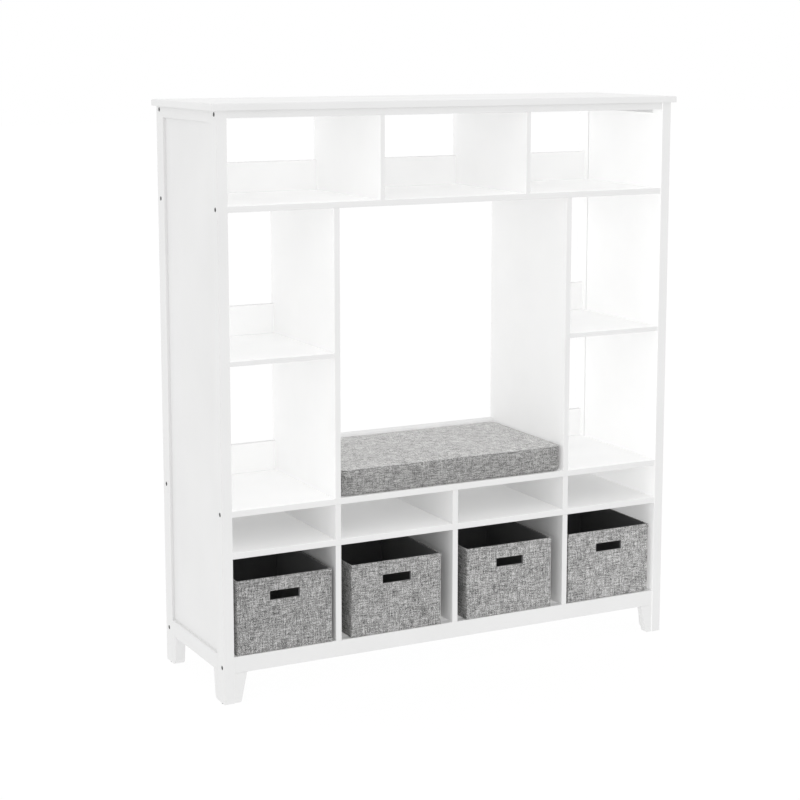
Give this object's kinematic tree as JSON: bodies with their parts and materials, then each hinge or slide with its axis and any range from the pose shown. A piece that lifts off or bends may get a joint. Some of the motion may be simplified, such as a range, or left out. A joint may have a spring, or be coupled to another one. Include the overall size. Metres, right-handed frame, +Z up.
{
  "type": "hall tree storage bench",
  "caption": "Freestanding white hall tree: open top cubbies and side columns round a cushioned bench seat, with shallow shelves and pull-out fabric bins below.",
  "frame": {"origin": "on the floor, below the middle of the overall box", "axes": "+Z up, -Y out of the open front, +X to the right seen from the front"},
  "size_m": [1.2904, 0.3988, 1.4376],
  "materials": {
    "white_paint": "satin white paint on board",
    "black_steel": "black oxide",
    "zinc_steel": "bright zinc",
    "beech": "raw beech",
    "glide_plastic": "moulded",
    "cushion_fabric": "melange plain weave",
    "foam": "open-cell foam",
    "bin_fabric": "coarse heather weave over board",
    "bin_lining": "black lining over board"
  },
  "bodies": {
    "cabinet": {"back_screws": "zinc_steel", "bench_board": "white_paint", "bin_divider_left": "white_paint", "bin_divider_middle": "white_paint", "bin_divider_right": "white_paint", "bottom_board": "white_paint", "column_rail_lower_left": "white_paint", "column_rail_lower_right": "white_paint", "column_rail_upper_left": "white_paint", "column_rail_upper_right": "white_paint", "column_shelf_left": "white_paint", "column_shelf_right": "white_paint", "cubby_rail_left": "white_paint", "cubby_rail_middle": "white_paint", "cubby_rail_right": "white_paint", "dowels": "beech", "foot_block_front_left": "white_paint", "foot_block_front_right": "white_paint", "foot_block_rear_left": "white_paint", "foot_block_rear_right": "white_paint", "foot_bracket_left": "white_paint", "foot_bracket_right": "white_paint", "foot_glides": "glide_plastic", "front_apron": "white_paint", "lower_back_panel": "white_paint", "lower_shelf": "white_paint", "post_front_left": "white_paint", "post_front_right": "white_paint", "post_rear_left": "white_paint", "post_rear_right": "white_paint", "rear_apron": "white_paint", "seat_divider_left": "white_paint", "seat_divider_right": "white_paint", "seat_rail": "white_paint", "shelf_divider_left": "white_paint", "shelf_divider_middle": "white_paint", "shelf_divider_right": "white_paint", "side_bottom_rail_left": "white_paint", "side_bottom_rail_right": "white_paint", "side_panel_left": "white_paint", "side_panel_right": "white_paint", "side_screws": "black_steel", "side_top_rail_left": "white_paint", "side_top_rail_right": "white_paint", "sub_top_board": "white_paint", "top_divider_left": "white_paint", "top_divider_right": "white_paint", "top_panel": "white_paint", "top_screws": "zinc_steel", "upper_shelf": "white_paint"},
    "seat_cushion": {"cushion_cover": "cushion_fabric", "cushion_foam": "foam"},
    "bin_far_left_body": {"bin_far_left": "bin_fabric", "bin_far_left_base": "bin_lining"},
    "bin_mid_left_body": {"bin_mid_left": "bin_fabric", "bin_mid_left_base": "bin_lining"},
    "bin_mid_right_body": {"bin_mid_right": "bin_fabric", "bin_mid_right_base": "bin_lining"},
    "bin_far_right_body": {"bin_far_right": "bin_fabric", "bin_far_right_base": "bin_lining"}
  },
  "joints": [
    {"name": "cushion_lift", "type": "slide", "parent": "cabinet", "child": "seat_cushion", "axis": [0, 0, 1], "range_m": [0, 0.25]},
    {"name": "bin_far_left_slide", "type": "slide", "parent": "cabinet", "child": "bin_far_left_body", "axis": [0, -1, 0], "range_m": [0, 0.35]},
    {"name": "bin_mid_left_slide", "type": "slide", "parent": "cabinet", "child": "bin_mid_left_body", "axis": [0, -1, 0], "range_m": [0, 0.35]},
    {"name": "bin_mid_right_slide", "type": "slide", "parent": "cabinet", "child": "bin_mid_right_body", "axis": [0, -1, 0], "range_m": [0, 0.35]},
    {"name": "bin_far_right_slide", "type": "slide", "parent": "cabinet", "child": "bin_far_right_body", "axis": [0, -1, 0], "range_m": [0, 0.35]}
  ]
}
